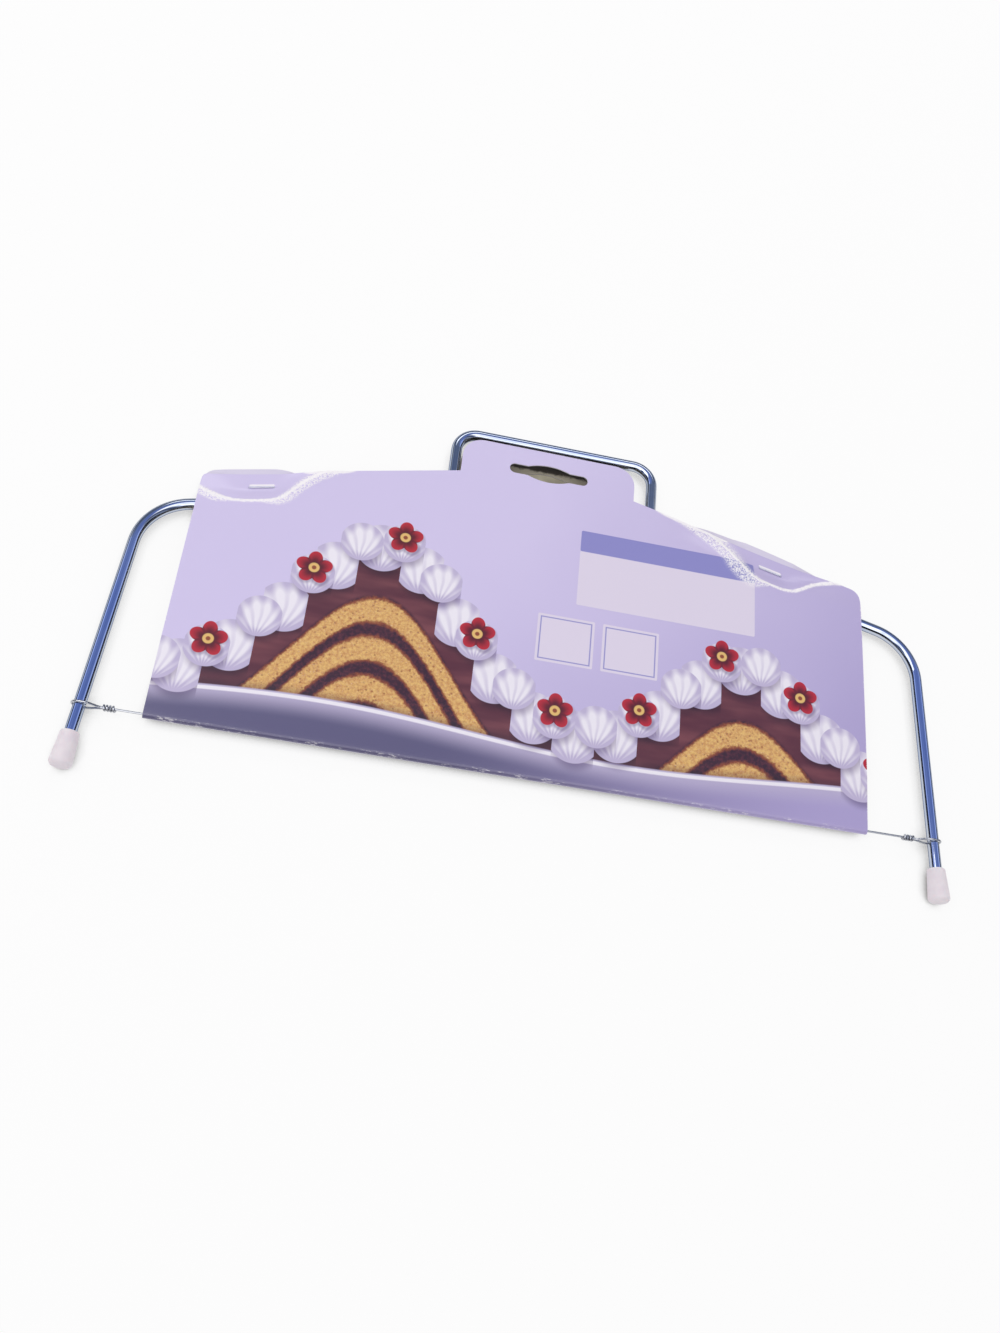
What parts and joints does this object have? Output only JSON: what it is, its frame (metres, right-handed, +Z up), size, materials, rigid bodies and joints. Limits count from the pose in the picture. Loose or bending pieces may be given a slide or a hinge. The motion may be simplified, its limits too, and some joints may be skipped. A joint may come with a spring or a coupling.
{
  "type": "cake leveler",
  "caption": "Adjustable wire cake leveler: bent rod frame with handle, rubber foot caps and a taut cutting wire, stapled into its folded hanging card",
  "frame": {"origin": "middle of the bounding box in X and Y, on the table under the card's back", "axes": "+X from the left foot to the right foot, +Y from the feet towards the handle, +Z up out of the card's printed face"},
  "size_m": [0.3048, 0.1588, 0.0075],
  "materials": {
    "frame_chrome": "bright chrome plating on bent steel rod",
    "cap_plastic": "soft milky vinyl, satin",
    "wire_steel": "drawn stainless wire",
    "card_board": "glossy coated paperboard, printed",
    "staple_steel": "galvanised staple wire"
  },
  "bodies": {
    "frame": {"left_leg": "frame_chrome", "right_leg": "frame_chrome", "handle": "frame_chrome", "left_foot_cap": "cap_plastic", "right_foot_cap": "cap_plastic", "card": "card_board", "left_staple": "staple_steel", "right_staple": "staple_steel"},
    "wire": {"cutting_wire": "wire_steel"}
  },
  "joints": [
    {"name": "wire_height", "type": "slide", "parent": "frame", "child": "wire", "axis": [0, 1, 0], "range_m": [0, 0.0288]}
  ]
}
